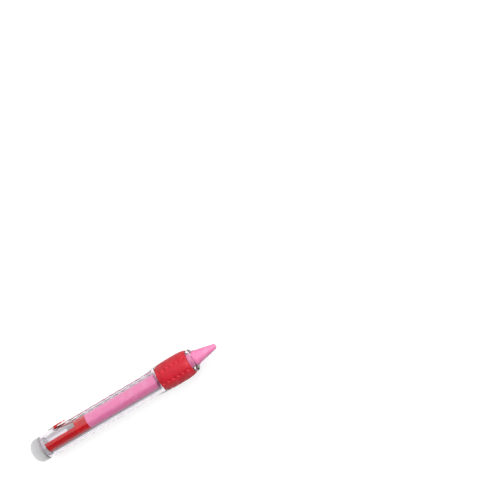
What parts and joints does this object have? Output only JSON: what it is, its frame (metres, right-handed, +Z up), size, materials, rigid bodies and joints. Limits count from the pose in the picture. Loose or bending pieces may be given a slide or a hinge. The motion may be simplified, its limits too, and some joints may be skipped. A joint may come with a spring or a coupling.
{
  "type": "bath crayon",
  "caption": "Retractable bath crayon: a thumb plate slides a coloured stick through a clear barrel with a notched slot and a soft dimpled grip.",
  "frame": {"origin": "centre of the flat rear face of the end plug, on the barrel's axis", "axes": "+X along the barrel from the rear face to the tip of the stick, +Y towards the slot and the thumb plate, +Z up, so the crayon lies on its side"},
  "size_m": [0.15, 0.0208, 0.0208],
  "materials": {
    "clear_plastic": "water-clear glossy moulded plastic",
    "red_plastic": "bright red satin-gloss moulded plastic",
    "red_rubber": "satin crimson soft plastic sleeve with dimples",
    "pink_wax": "smooth satin pink crayon wax, faintly mottled"
  },
  "bodies": {
    "barrel": {"barrel": "clear_plastic", "end_plug": "clear_plastic", "grip": "red_rubber"},
    "carriage": {"carriage": "red_plastic", "crayon_stick": "pink_wax"},
    "thumb_finger": {"thumb_finger": "red_plastic"}
  },
  "joints": [
    {"name": "carriage_slide", "type": "slide", "parent": "barrel", "child": "carriage", "axis": [1, 0, 0], "range_m": [0, 0.0756]},
    {"name": "thumb_press", "type": "hinge", "parent": "carriage", "child": "thumb_finger", "pos_m": [0.02925, 0.00575, 0], "axis": [0, 0, 1], "range_deg": [0, 2], "stiffness_Nm_per_rad": 0.6}
  ]
}
